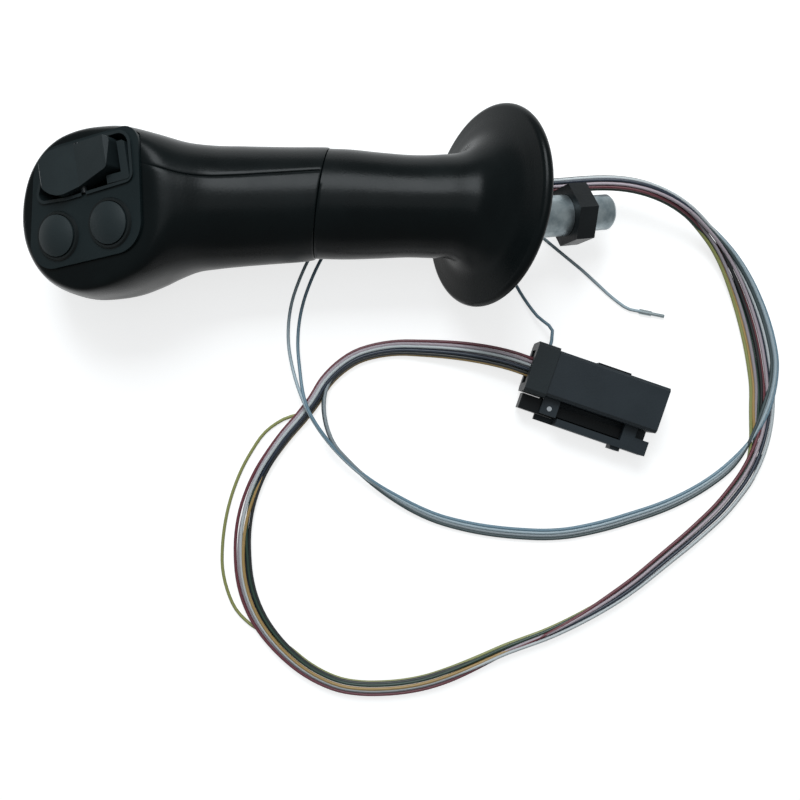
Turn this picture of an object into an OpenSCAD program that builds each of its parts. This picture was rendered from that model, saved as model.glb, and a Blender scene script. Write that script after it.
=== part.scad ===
/* [Grip] */
// Wall of the moulded grip shells
wall = 2.6; // [2.2:0.1:3]
// Step by which the upper shells stand proud of the lower grip at the seam
seam_step = 0.5; // [0.2:0.1:0.8]
// Height of the grip axis above the lever mouth
grip_z = 15; // [14:0.5:16]
// Radius of the upper grip where it meets the lower grip
grip_r = 21.5; // [21:0.1:22]
// Half width of the head across the operator's hand
head_half_w = 30.8; // [30:0.1:32]
// Depth of the head below its middle
head_half_h = 28; // [27:0.1:29]
// Height of the head above its middle before the switch face cuts it
head_top = 30; // [29:0.1:31]

/* [Hand rest] */
// Radius of the round hand rest
rest_r = 38.5; // [37:0.5:42]
// Radius of its rounded rim
rim_r = 2.2; // [1.8:0.1:2.6]
// Angle of the hand rest from square to the grip
rest_pitch = 30; // [28:1:32]
// Thickness of the base plate that closes the hand rest
base_t = 3; // [2.5:0.5:4]
// Width of the ledge that the base plate seats on
ledge_w = 5.4; // [5:0.2:6]

/* [Lever sleeve] */
// Angle of the lever sleeve below the grip
lever_pitch = 20; // [15:1:25]
// Outside diameter of the sleeve behind its thread
sleeve_d = 16; // [15:0.5:18]
// Outside diameter of the threaded stub
stub_d = 14; // [12:0.5:14]
// Length of the threaded stub
stub_len = 20; // [19:0.5:24]
// Distance from the mouth back to the inner end of the sleeve
sleeve_len = 55; // [54:0.5:56]
// Tapping bore of the thread that takes the lever rod
rod_bore_d = 8.5; // [6.8:0.1:10]
// Depth of that thread
rod_bore_len = 24; // [20:1:30]
// Width of the lock nut across its flats
nut_af = 22; // [20:1:24]
// Thickness of the lock nut
nut_t = 8; // [6:0.5:8]

/* [Switch face] */
// Slope of the switch face towards the head's end
face_pitch = 20; // [18:1:22]
// Switch plate left beyond the button rings at each end
plate_margin = 3.9; // [3.6:0.1:4.2]
// Thickness of the switch plate's body below its lip
plate_t = 3; // [2.5:0.5:4]
// Thickness of the lip that rests on the shells
lip_t = 1; // [0.8:0.1:1.2]
// Width of that lip
lip_w = 1; // [0.8:0.1:1.2]
// Diameter of a push button cap
button_d = 15.4; // [14:0.2:16]
// Outside diameter of the ring round a push button
ring_d = 18.6; // [18.4:0.2:19]
// Travel of a push button
button_travel = 2; // [1:0.25:2.5]
// Distance between the two push buttons
button_pitch = 23.4; // [23:0.1:24]
// Length of the rocker cap
rocker_len = 32; // [31:0.2:32.4]
// Width of the rocker cap
rocker_w = 12; // [11:0.2:12.4]
// Height of the rocker cap's ends above the plate
rocker_h = 5; // [4:0.5:6]
// Tilt of the rocker each way
rocker_tilt = 8; // [5:1:9]
// Diameter of the rocker's pivot pin
rocker_pin_d = 2.5; // [2:0.1:3]

/* [Connector] */
// Length of the connector body
conn_len = 56; // [52:1:60]
// Width of the connector body
conn_w = 19; // [18:0.5:22]
// Height of the connector body
conn_h = 17.5; // [16:0.5:19]
// Wall round the mating cavity
conn_wall = 2; // [1.6:0.1:2.4]
// Depth of the mating cavity
cavity_len = 18; // [14:1:20]
// Width of the latch arm beside the body
latch_w = 4; // [3.6:0.1:4.2]
// Width of the rail that guards the latch arm
rail_w = 3; // [2.6:0.1:3.4]
// Gap between the latch arm and the body
latch_gap = 2.4; // [2:0.1:3]
// Contacts in each of the two rows
conn_cols = 6; // [4:1:6]
// Contact spacing
conn_pitch = 2.5; // [2.2:0.1:2.6]

/* [Wires and fits] */
// Diameter of the harness where all wires run together
bundle_d = 7; // [6:0.5:7]
// Diameter of the coloured branch of the harness
loop_d = 5.6; // [5:0.1:5.8]
// Diameter of the grey branch of the harness
grey_d = 3.6; // [3:0.1:3.8]
// Diameter of one wire
wire_d = 1.4; // [1.2:0.1:1.5]
// Radial running clearance of pins, shafts and the lock nut
run_gap = 0.05; // [0.02:0.01:0.1]
// Clearance round pieces that drop into an opening
fit_gap = 0.3; // [0.2:0.05:0.4]

/* [Hidden] */

// Height of the surface that the handle lies on, with the mouth of the lever sleeve at zero
table_z = -16;
sides = 48;
half_sides = sides / 2;
grip_yaw = 10;
seam_yaw = 17;
colour_black = "#1c1f21";
colour_plate = "#23282b";
colour_steel = "#b9bcbf";

// ---- Frames ----

// Axes of a cross-section: the direction along the grip, to the side and up
function along(yaw, pitch) = [-cos(yaw) * cos(pitch), sin(yaw) * cos(pitch), sin(pitch)];
function aside(yaw) = [sin(yaw), cos(yaw), 0];
function upward(yaw, pitch) = [sin(pitch) * cos(yaw), -sin(pitch) * sin(yaw), cos(pitch)];

// Signed power that squares a circle off into a rounded box as e grows past 2
function bulge(w, e) = sign(w) * pow(abs(w), 2 / e);

// One point of a section at angle t from the +Y side. Station s is
// [x, y, z, half width, height above, depth below, squareness above, yaw, pitch]
function section_point(s, t, inset) =
    let (e = sin(t) > 0 ? s[6] : min(s[6], 2.2), h = sin(t) > 0 ? s[4] : s[5])
        [s[0], s[1], s[2]]
        + (s[3] - inset) * bulge(cos(t), e) * aside(s[7])
        + (h - inset) * bulge(sin(t), e) * upward(s[7], s[8]);

// Stands a child on the lever axis, which leaves the handle at the origin
module on_lever() { rotate([0, 90 + lever_pitch, 0]) children(); }

// ---- Hand rest ----

rest_yaw = 12.5;
rest_axis = along(rest_yaw, rest_pitch);
rest_centre = [-50, 5.9, table_z + (rest_r - rim_r) * cos(rest_pitch) + rim_r];
ledge_d = base_t - rim_r;
base_r = rest_r - rim_r - 2.2;
ledge_r = base_r - ledge_w;

// A ring of the hand rest: r is its radius and d its place along the rest's axis
function rest_station(r, d, slip) = [
    rest_centre[0] + rest_axis[0] * d + slip[0],
    rest_centre[1] + rest_axis[1] * d + slip[1],
    rest_centre[2] + rest_axis[2] * d + slip[2],
    r, r, r, 2, rest_yaw, rest_pitch
];

// Puts a child on the hand rest, with +Z away from the grip and +Y up its slope
module on_rest() {
    translate(rest_centre)
        multmatrix([
            [aside(rest_yaw)[0], upward(rest_yaw, rest_pitch)[0], -rest_axis[0], 0],
            [aside(rest_yaw)[1], upward(rest_yaw, rest_pitch)[1], -rest_axis[1], 0],
            [aside(rest_yaw)[2], upward(rest_yaw, rest_pitch)[2], -rest_axis[2], 0]
        ])
            children();
}

// ---- Grip sections ----

// A station with its outline drawn in by w all round
function shrunk(s, w) = [s[0], s[1], s[2], s[3] - w, s[4] - w, s[5] - w, s[6], s[7], s[8]];

seam = [-112, 16.5, grip_z, grip_r, grip_r - 1, grip_r - 1, 2, seam_yaw, 0];
neck = [
    [-61.5, 8, grip_z + 2.2, 20.3, 20.3, 20.3, 2, 12, 25],
    [-70, 9, grip_z + 1, 19.5, 19.5, 19.5, 2, 10, 13],
    [-78, 10.4, grip_z + 0.3, 19.3, 19.2, 19.2, 2, grip_yaw, 5],
    [-90, 12.5, grip_z, 20, 19.4, 19.4, 2, grip_yaw, 0],
    [-102, 14.7, grip_z, grip_r - 0.7, grip_r - 1.6, grip_r - 1.6, 2, 12, 0]
];

// Outside of the lower grip, from the back of the hand rest's rim up to the seam
lower_outer = concat(
    [for (q = [-90:30:90]) rest_station(rest_r - rim_r + rim_r * cos(q), rim_r * sin(q), [0, 0, 0])],
    [
        rest_station(rest_r - 6.5, rim_r + 0.8, [0, 0, 0]),
        rest_station(rest_r - 12.5, rim_r + 2.4, [0, 0, 0]),
        rest_station(rest_r - 16, rim_r + 4.8, [-0.6, 0, -1])
    ],
    neck,
    [shrunk(seam, seam_step)]
);

// Inside of the lower grip, from the seam down to the ledge and recess of the base plate
lower_inner = concat(
    [shrunk(seam, wall)],
    [for (i = [len(neck) - 1:-1:0]) shrunk(neck[i], wall)],
    [
        rest_station(rest_r - 18.6, rim_r + 1.6, [-0.6, 0, -1]),
        rest_station(ledge_r, ledge_d, [0, 0, 0]),
        rest_station(base_r + fit_gap, ledge_d, [0, 0, 0]),
        rest_station(base_r + fit_gap, -rim_r, [0, 0, 0])
    ]
);

// A closed skin over a loop of rings, the last joined to the first
module ring_skin(stations) {
    n = len(stations);
    points = [for (s = stations) for (k = [0:sides - 1]) section_point(s, 360 * k / sides, 0)];
    faces = [
        for (i = [0:n - 1])
            for (k = [0:sides - 1])
                let (j = (i + 1) % n, m = (k + 1) % sides)
                    for (f = [
                        [i * sides + k, i * sides + m, j * sides + m],
                        [i * sides + k, j * sides + m, j * sides + k]
                    ])
                        f
    ];
    polyhedron(points, faces);
}

// ---- Switch face ----

face_centre = [-198.5, 25.8, 31.6];
face_rise = tan(face_pitch);

// Height of the switch face over a place along the handle
function face_z(x) = face_centre[2] + face_rise * (x - face_centre[0]);

// Puts a child on the switch face, with +Z out of it and +X towards the hand rest
function from_face(p) = face_centre + [
    p[0] * cos(face_pitch) - p[2] * sin(face_pitch),
    p[1],
    p[0] * sin(face_pitch) + p[2] * cos(face_pitch)
];
module on_face() { translate(face_centre) rotate([0, -face_pitch, 0]) children(); }

// Upper shells, each station as above with the angle of the parting line added
shell_stations = [
    concat(seam, [66]),
    [-119, 17.2, grip_z, grip_r + 0.2, grip_r - 0.9, grip_r - 0.9, 2, 11, 0, 67],
    [-131, 18.6, grip_z, grip_r + 0.7, grip_r - 0.6, grip_r - 0.7, 2, grip_yaw, 0, 69],
    [-143, 20, grip_z, grip_r + 1.3, grip_r, grip_r - 0.5, 2, grip_yaw, 0, 71],
    [-152, 21, grip_z - 0.3, grip_r + 1.7, grip_r + 1.5, grip_r + 0.5, 2.1, 9, 0, 73],
    [-161, 22.2, grip_z - 1, head_half_w - 6.8, head_top - 3.5, head_half_h - 4.6, 2.4, 7, 0, 75],
    [-170, 23.2, grip_z - 1.9, head_half_w - 4.4, head_top, head_half_h - 2.6, 3.2, 4, 0, 77],
    [-179, 23.8, grip_z - 2.6, head_half_w - 1.7, head_top + 1.5, head_half_h - 0.8, 4, 1, 0, 78],
    [-188, 23.8, table_z + head_half_h, head_half_w, head_top, head_half_h, 4, 0, 0, 79],
    [-197, 23.6, table_z + head_half_h, head_half_w, head_top - 0.5, head_half_h, 4, 0, 0, 80],
    [-205.5, 23.4, table_z + head_half_h - 0.4, head_half_w - 1.3, head_top - 2.4, head_half_h - 0.6, 3.8,
        0, 0, 80],
    [-213, 23.2, table_z + head_half_h - 1, head_half_w - 4.6, head_top - 5, head_half_h - 3.4, 3.2,
        0, 0, 80],
    [-219, 22.6, table_z + head_half_h - 1.6, head_half_w - 9.6, head_top - 9.2, head_half_h - 8, 2.8,
        0, 0, 80],
    [-223.5, 21.8, table_z + head_half_h - 2, head_half_w - 16.4, head_top - 15, head_half_h - 13.6, 2.4,
        0, 0, 80],
    [-226, 21, table_z + head_half_h - 2.2, head_half_w - 24, head_top - 21.6, head_half_h - 20, 2.1,
        0, 0, 80]
];
head_end = [-226.8, 20.6, table_z + head_half_h - 2.3];

// Holds a point of the shells under the switch face, less the wall
function under_face(p, inset) = [p[0], p[1], min(p[2], face_z(p[0]) - inset / cos(face_pitch))];

// One half of the head and upper grip; turn is the angle from the parting line where it starts
module half_shell(turn) {
    n = len(shell_stations);
    row = half_sides + 1;
    skin = n * row;
    depth = [for (i = [0:n - 1]) max(0, i - (n - 4)) * 0.5];
    outer = [
        for (s = shell_stations)
            for (k = [0:half_sides])
                under_face(section_point(s, s[9] + turn + 180 * k / half_sides, 0), 0)
    ];
    inner = [
        for (i = [0:n - 1])
            for (k = [0:half_sides])
                let (s = shell_stations[i])
                    under_face(
                        section_point(s, s[9] + turn + 180 * k / half_sides, wall) + [depth[i], 0, 0],
                        wall
                    )
    ];
    tip = 2 * skin;
    points = concat(outer, inner, [head_end, head_end + [wall, 0, 0]]);
    skin_faces = [
        for (i = [0:n - 2])
            for (k = [0:half_sides - 1])
                let (a = i * row + k, b = a + 1, c = a + row, d = c + 1)
                    for (f = [
                        [a, d, b], [a, c, d],
                        [skin + a, skin + b, skin + d], [skin + a, skin + d, skin + c]
                    ])
                        f
    ];
    end_faces = [
        for (k = [0:half_sides - 1])
            let (a = (n - 1) * row + k, b = a + 1)
                for (f = [
                    [a, tip, b], [skin + a, skin + b, tip + 1],
                    [k, k + 1, skin + k + 1], [k, skin + k + 1, skin + k]
                ])
                    f
    ];
    edge_faces = [
        for (i = [0:n - 2])
            let (a = i * row, c = a + row, e = a + half_sides, g = c + half_sides)
                for (f = [
                    [a, skin + a, skin + c], [a, skin + c, c],
                    [e, skin + g, skin + e], [e, g, skin + g]
                ])
                    f
    ];
    last = (n - 1) * row;
    tip_faces = [
        [last, skin + last, tip + 1], [last, tip + 1, tip],
        [last + half_sides, tip + 1, skin + last + half_sides], [last + half_sides, tip, tip + 1]
    ];
    polyhedron(points, concat(skin_faces, end_faces, edge_faces, tip_faces));
}

// A slab on a round-cornered outline, each corner given as [x, y, radius]; grow moves its edge outwards
module round_slab(corners, grow, h) {
    linear_extrude(h) hull() for (c = corners)
        translate([c[0], c[1]]) circle(r = c[2] + grow, $fn = 64);
}

// ---- Places on the switch face ----

button_at = [0, -9.5];
rocker_at = [2.8, 14.6];
rocker_side_gap = 0.4;
frame_wall = 0.8;
frame_lip = 0.3;
frame_lip_t = 0.8;
frame_depth = 7;

// Outline of the switch plate; its body drops through the shells under the lip
row_half = (button_pitch + ring_d) / 2;
plate_end = row_half + plate_margin;
plate_low = button_at[1] - ring_d / 2 - 2.1;
plate_high = rocker_at[1] + rocker_w / 2 + rocker_side_gap + frame_wall + frame_lip + lip_w + 0.1;
plate_corners = [
    [plate_end - 2.3, plate_high - 6, 6],
    [5.2 - plate_end + 13.5, plate_high - 13.5, 13.5],
    [9.5 - plate_end, plate_low + 9.5, 9.5],
    [plate_end - 11.5, plate_low + 11.5, 11.5]
];

module face_opening() {
    on_face() translate([0, 0, -wall - 8]) round_slab(plate_corners, fit_gap - lip_w, wall + 20);
}

// ---- Screws across the seam ----

seam_screw_d = 2.4;
seam_head_d = 4.6;
seam_head_t = 1.6;
joining_r = grip_r - 1 - wall - 3 * fit_gap;
joining_t = 3;
joining_len = 14;
screw_gap = 0.2;
// Each screw: [distance from the seam towards the hand rest, angle round the grip, radius of its head]
lower_seam_screws = [[4, -25, grip_r - 1], [4, 205, grip_r - 1.8]];
upper_seam_screws = [[-4, -25, grip_r - 1.3], [-4, 205, grip_r]];

// Stands a child on the seam's centre, with +X towards the hand rest, square to the seam
module at_seam() { translate([seam[0], seam[1], seam[2]]) rotate([0, 0, -seam_yaw]) children(); }

// Stands a child at a seam screw, with +Z out of the grip
module at_seam_screw(s) { at_seam() translate([s[0], 0, 0]) rotate([s[1] - 90, 0, 0]) children(); }

// Hole for a seam screw, with room for its head
module seam_hole(s) {
    at_seam_screw(s) {
        translate([0, 0, 8]) cylinder(d = seam_screw_d + 2 * screw_gap, h = 20, $fn = 24);
        translate([0, 0, s[2] - seam_head_t]) cylinder(d = seam_head_d + 2 * screw_gap, h = 6, $fn = 24);
    }
}

module seam_screw(s) {
    at_seam_screw(s) {
        translate([0, 0, joining_r - joining_t])
            cylinder(d = seam_screw_d, h = s[2] - joining_r + 1, $fn = 24);
        translate([0, 0, s[2] - seam_head_t]) cylinder(d = seam_head_d, h = seam_head_t, $fn = 24);
    }
}

// ---- Sub-parts of the grip ----

module lower_grip() {
    color(colour_black) difference() {
        ring_skin(concat(lower_outer, lower_inner));
        for (s = lower_seam_screws) seam_hole(s);
        for (q = base_screw_angles)
            on_rest() rotate([0, 0, q]) translate([base_screw_at, 0, -ledge_d - base_screw_bite])
                cylinder(d = base_screw_d, h = base_screw_bite + 1, $fn = 24);
    }
}

module shell_button_side() {
    color(colour_black) difference() {
        half_shell(0);
        face_opening();
        seam_hole(upper_seam_screws[1]);
    }
}

module shell_rocker_side() {
    color(colour_black) difference() {
        half_shell(180);
        face_opening();
        seam_hole(upper_seam_screws[0]);
    }
}

// Tube inside the seam that the lower grip and both shells are screwed to
module joining_ring() {
    color("dimgray") difference() {
        at_seam() rotate([0, 90, 0]) translate([0, 0, -joining_len / 2]) difference() {
            cylinder(r = joining_r, h = joining_len, $fn = 96);
            translate([0, 0, -1]) cylinder(r = joining_r - joining_t, h = joining_len + 2, $fn = 96);
        }
        for (s = concat(lower_seam_screws, upper_seam_screws))
            at_seam_screw(s) translate([0, 0, 8]) cylinder(d = seam_screw_d, h = 20, $fn = 24);
    }
}

module shell_screws() {
    color(colour_steel) for (s = concat(lower_seam_screws, upper_seam_screws)) seam_screw(s);
}

// ---- Base of the handle ----

boss_r = sleeve_d / 2 + 4;
nut_seat_gap = 0.1;
boss_out = 42;
boss_floor = 2.5;
base_screw_d = 2.5;
base_screw_bite = 1.6;
base_screw_head_d = 4.6;
base_screw_head_t = 1.4;
base_screw_at = ledge_r + ledge_w / 2;
base_screw_angles = [0, 120, 240];
set_screw_d = 5;
set_screw_at = 46.5;
set_screw_angles = [-90, 0];
grommet_neck_r = 6.3;
grommet_flange_r = 7.8;
grommet_flange_t = 1.2;
grommet_turn = -46.3;
grommet_room = 3.9;
grommet_reach = ledge_r - grommet_flange_r - grommet_room;
grommet_at = [grommet_reach * cos(grommet_turn), grommet_reach * sin(grommet_turn)];

module base_plate() {
    color(colour_black) difference() {
        union() {
            on_rest() translate([0, 0, -ledge_d]) cylinder(r = base_r, h = base_t, $fn = 96);
            on_lever() translate([0, 0, -sleeve_len - boss_floor])
                cylinder(r = boss_r, h = sleeve_len + boss_floor - boss_out, $fn = 64);
        }
        on_lever() translate([0, 0, -sleeve_len]) cylinder(d = sleeve_d, h = sleeve_len, $fn = 64);
        on_lever() for (q = set_screw_angles)
            translate([0, 0, -set_screw_at]) rotate([0, 90, q])
                cylinder(d = set_screw_d, h = boss_r + 2, $fn = 24);
        on_rest() {
            translate([grommet_at[0], grommet_at[1], -10]) cylinder(r = grommet_neck_r, h = 20, $fn = 48);
            for (q = base_screw_angles) rotate([0, 0, q]) translate([base_screw_at, 0, 0]) {
                translate([0, 0, -5]) cylinder(d = base_screw_d + 2 * screw_gap, h = 10, $fn = 24);
                translate([0, 0, rim_r - base_screw_head_t])
                    cylinder(d = base_screw_head_d + 2 * screw_gap, h = 5, $fn = 24);
            }
        }
    }
}

module base_screws() {
    color(colour_steel) on_rest() for (q = base_screw_angles)
        rotate([0, 0, q]) translate([base_screw_at, 0, 0]) {
            translate([0, 0, -ledge_d - base_screw_bite])
                cylinder(d = base_screw_d, h = base_t + base_screw_bite - 0.5, $fn = 24);
            translate([0, 0, rim_r - base_screw_head_t])
                cylinder(d = base_screw_head_d, h = base_screw_head_t, $fn = 24);
        }
}

// Steel sleeve, with a tapped hole for the lever rod and an outer thread for the lock nut
module lever_sleeve() {
    color(colour_steel) on_lever() difference() {
        union() {
            translate([0, 0, -sleeve_len]) cylinder(d = sleeve_d, h = sleeve_len - stub_len, $fn = 64);
            translate([0, 0, -stub_len - 1]) cylinder(d = stub_d, h = stub_len, $fn = 64);
            translate([0, 0, -1]) cylinder(d1 = stub_d, d2 = stub_d - 1.6, h = 1, $fn = 64);
        }
        translate([0, 0, -rod_bore_len]) cylinder(d = rod_bore_d, h = rod_bore_len + 1, $fn = 48);
    }
}

module set_screws() {
    color("#303234") on_lever() for (q = set_screw_angles)
        translate([0, 0, -set_screw_at]) rotate([0, 90, q]) translate([0, 0, sleeve_d / 2])
            difference() {
                cylinder(d = set_screw_d - 2 * run_gap, h = boss_r - sleeve_d / 2, $fn = 24);
                translate([0, 0, 1.8]) cylinder(d = 2.6, h = 5, $fn = 6);
            }
}

module lock_nut() {
    color("#26282a") on_lever() translate([0, 0, -stub_len + nut_seat_gap]) difference() {
        cylinder(d = nut_af / cos(30), h = nut_t, $fn = 6);
        translate([0, 0, -1]) cylinder(d = stub_d + 2 * run_gap, h = nut_t + 2, $fn = 64);
    }
}

module wire_grommet() {
    color("#141516") on_rest() translate([grommet_at[0], grommet_at[1], 0]) difference() {
        union() {
            translate([0, 0, -ledge_d]) cylinder(r = grommet_neck_r, h = base_t, $fn = 48);
            translate([0, 0, -ledge_d - grommet_flange_t])
                cylinder(r = grommet_flange_r, h = grommet_flange_t, $fn = 48);
            translate([0, 0, rim_r]) cylinder(r = grommet_flange_r, h = grommet_flange_t, $fn = 48);
        }
        translate([0, 0, -10]) cylinder(d = bundle_d - 1, h = 20, $fn = 48);
    }
}

// ---- Switch face ----
button_y = button_at[1];
button_front_x = button_at[0] - button_pitch / 2;
button_rear_x = button_at[0] + button_pitch / 2;
button_xs = [button_front_x, button_rear_x];
barrel_wall = 0.8;
ring_lip_t = 0.9;
ring_depth = 6;
barrel_d = button_d + 2 * fit_gap + 2 * barrel_wall;
cap_skirt = 4;
cap_rim = 0.9;
cap_crown = 1.5;
stem_d = 4;
stem_end = 9.6;
board_top = 13.6;
board_t = 1.6;
board_len = 2 * plate_end - 5.8;
board_w = -2 * (plate_low + 2.2);
switch_top = cap_skirt + button_travel + 0.6;
switch_w = 12.6;
post_d = 5;
post_pilot_d = 1.9;
post_places = [[6.7 - plate_end, 1], [button_at[0], plate_low + 4.5], [plate_end - 4.3, 0.2]];
board_screw_d = 1.8;
board_screw_head_d = 3.6;

// Outline of the rocker cap about its pivot, and of the recess that it sits in
rocker_corners = [
    [rocker_len / 2 - 2.2, rocker_w / 2 - 2.2, 2.2],
    [8.4 - rocker_len / 2, rocker_w / 2 - 8.4, 8.4],
    [2.6 - rocker_len / 2, 2.2 - rocker_w / 2, 2.2],
    [rocker_len / 2 - 3.2, 1.8 - rocker_w / 2, 1.8]
];
recess_inner_end = 5.8;
recess_outer_end = 3.8;
recess_low = rocker_w / 2 + 4.4;
recess_high = rocker_w / 2 + rocker_side_gap;
recess_corners = [
    [rocker_len / 2 + recess_inner_end - 4, recess_high - 4, 4],
    [8.4 - rocker_len / 2, rocker_w / 2 - 8.4, 8.4 + rocker_side_gap],
    [2.4 - recess_outer_end - rocker_len / 2, 2.4 - recess_low, 2.4],
    [rocker_len / 2 + recess_inner_end - 3.4, 2.6 - recess_low, 2.6]
];
rocker_floor = 3;
rocker_dip = 2.6;
bracket_gap = 1.4;
bracket_t = 3.2;
bracket_h = 1;

// Moves a child to the rocker's place, with zero at the top of the plate
module at_rocker() { on_face() translate([rocker_at[0], rocker_at[1], lip_t]) children(); }

module switch_plate() {
    color(colour_plate) difference() {
        on_face() {
            round_slab(plate_corners, 0, lip_t);
            translate([0, 0, -plate_t]) round_slab(plate_corners, -lip_w, plate_t);
            for (c = post_places) translate([c[0], c[1], -board_top])
                cylinder(d = post_d, h = board_top - plate_t + 0.5, $fn = 32);
        }
        on_face() {
            for (x = button_xs) translate([x, button_y, -10]) cylinder(d = barrel_d, h = 20, $fn = 64);
            for (c = post_places) translate([c[0], c[1], -board_top - 1])
                cylinder(d = post_pilot_d, h = 6, $fn = 24);
        }
        at_rocker() translate([0, 0, -8]) round_slab(recess_corners, frame_wall, 16);
    }
}

// Bracket at the rocker's inner end, an upright bar with a foot along the rocker
module rocker_bracket() {
    bar_x = rocker_len / 2 + bracket_gap;
    foot_y = bracket_gap + rocker_w / 2;
    translate([0, 0, -frame_depth]) linear_extrude(frame_depth + bracket_h) polygon([
        [bar_x - 6.4, -recess_low], [bar_x + bracket_t, -recess_low],
        [bar_x + bracket_t, 2.6], [bar_x + bracket_t - 1, 3.6], [bar_x, 3.6],
        [bar_x, -foot_y], [bar_x - 6.4, -foot_y]
    ]);
}

// Frame of the rocker: a low lip over the plate and walls that carry the pivot pin
module rocker_bezel() {
    color(colour_black) difference() {
        at_rocker() {
            difference() {
                union() {
                    round_slab(recess_corners, frame_wall + frame_lip, frame_lip_t);
                    translate([0, 0, -frame_depth]) round_slab(recess_corners, frame_wall, frame_depth);
                }
                translate([0, 0, -frame_depth - 1])
                    round_slab(recess_corners, 0, frame_depth + frame_lip_t + 2);
            }
            intersection() {
                rocker_bracket();
                translate([0, 0, -frame_depth]) round_slab(recess_corners, frame_wall / 2, frame_depth + 2);
            }
        }
        at_rocker() rotate([90, 0, 0]) translate([0, 0, -15])
            cylinder(d = rocker_pin_d, h = 30, $fn = 32);
    }
}

module rocker_pin() {
    color(colour_steel) at_rocker() rotate([90, 0, 0]) translate([0, 0, -recess_high - frame_wall])
        cylinder(d = rocker_pin_d, h = recess_high + recess_low + 2 * frame_wall, $fn = 32);
}

// Rocker cap: two facets that fall from raised ends to a crease over the pin
module rocker_cap() {
    color(colour_black) at_rocker() difference() {
        intersection() {
            translate([0, 0, -rocker_floor]) round_slab(rocker_corners, 0, rocker_floor + rocker_h);
            rotate([90, 0, 0]) translate([0, 0, -rocker_w]) linear_extrude(2 * rocker_w) polygon([
                [-rocker_len / 2, -rocker_floor], [rocker_len / 2, -rocker_floor],
                [rocker_len / 2, rocker_h - 1.5], [rocker_len / 2 - 1.5, rocker_h],
                [0, rocker_dip],
                [1.5 - rocker_len / 2, rocker_h], [-rocker_len / 2, rocker_h - 1.5]
            ]);
        }
        rotate([90, 0, 0]) translate([0, 0, -15])
            cylinder(d = rocker_pin_d + 2 * run_gap, h = 30, $fn = 32);
    }
}

// Micro switch under the rocker, with a plunger for each way it tilts
module rocker_switch() {
    plunger_top = rocker_floor + 1.5 - lip_t;
    body_top = frame_depth - lip_t + 0.3;
    color("#3a2f26") on_face() translate([rocker_at[0], rocker_at[1], 0]) {
        translate([-11, -5.5, -board_top]) cube([22, 11, board_top - body_top]);
        for (x = [-7.5, 7.5]) translate([x, 0, -body_top - 0.5])
            cylinder(d = 3, h = body_top + 0.5 - plunger_top, $fn = 24);
    }
}

module button_ring(x) {
    color(colour_plate) on_face() translate([x, button_y, 0]) difference() {
        union() {
            translate([0, 0, -ring_depth]) cylinder(d = barrel_d, h = ring_depth + lip_t + 0.2, $fn = 64);
            translate([0, 0, lip_t]) cylinder(d1 = ring_d, d2 = ring_d - 1, h = ring_lip_t, $fn = 64);
        }
        translate([0, 0, -ring_depth - 1])
            cylinder(d = button_d + 2 * fit_gap, h = ring_depth + lip_t + ring_lip_t + 2, $fn = 64);
    }
}

module button_ring_front() { button_ring(button_front_x); }
module button_ring_rear() { button_ring(button_rear_x); }

// Push button: a domed cap on a skirt, with a stem that slides in its switch
module button_cap(x) {
    crown_r = (pow(button_d / 2, 2) + pow(cap_crown, 2)) / (2 * cap_crown);
    rim_z = lip_t + ring_lip_t + cap_rim - 0.4;
    color(colour_plate) on_face() translate([x, button_y, 0]) {
        translate([0, 0, -cap_skirt]) cylinder(d = button_d, h = cap_skirt + rim_z, $fn = 64);
        translate([0, 0, rim_z]) intersection() {
            translate([0, 0, cap_crown - crown_r]) sphere(r = crown_r, $fn = 96);
            cylinder(d = button_d, h = cap_crown + 1, $fn = 64);
        }
        translate([0, 0, -stem_end]) cylinder(d = stem_d, h = stem_end - cap_skirt + 0.5, $fn = 32);
    }
}

module button_front() { button_cap(button_front_x); }
module button_rear() { button_cap(button_rear_x); }

module button_switches() {
    color("#2b2b30") on_face() for (x = button_xs) difference() {
        translate([x - switch_w / 2, button_y - switch_w / 2, -board_top])
            cube([switch_w, switch_w, board_top - switch_top]);
        translate([x, button_y, -stem_end - button_travel - 0.5])
            cylinder(d = stem_d + 2 * run_gap, h = 10, $fn = 32);
    }
}

module switch_board() {
    color("#2f5d3a") on_face() difference() {
        translate([-board_len / 2, -board_w / 2, -board_top - board_t]) cube([board_len, board_w, board_t]);
        for (c = post_places) translate([c[0], c[1], -board_top - board_t - 1])
            cylinder(d = board_screw_d + 2 * screw_gap, h = board_t + 2, $fn = 24);
    }
}

module board_screws() {
    color(colour_steel) on_face() for (c = post_places) translate([c[0], c[1], 0]) {
        translate([0, 0, -board_top - board_t]) cylinder(d = board_screw_d, h = board_t + 4.5, $fn = 24);
        translate([0, 0, -board_top - board_t - 1.4]) cylinder(d = board_screw_head_d, h = 1.4, $fn = 24);
    }
}

// ---- Wires ----

// A route's point is [x, y, z], or [x, y, z, width] where its wires spread out flat
function spot(p) = [p[0], p[1], p[2]];

// Direction of a route at point i
function heading(route, i) =
    let (a = spot(route[max(i - 1, 0)]), b = spot(route[min(i + 1, len(route) - 1)])) (b - a) / norm(b - a);
function left_of(d) = let (n = cross([0, 0, 1], d)) n / norm(n);

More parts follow.
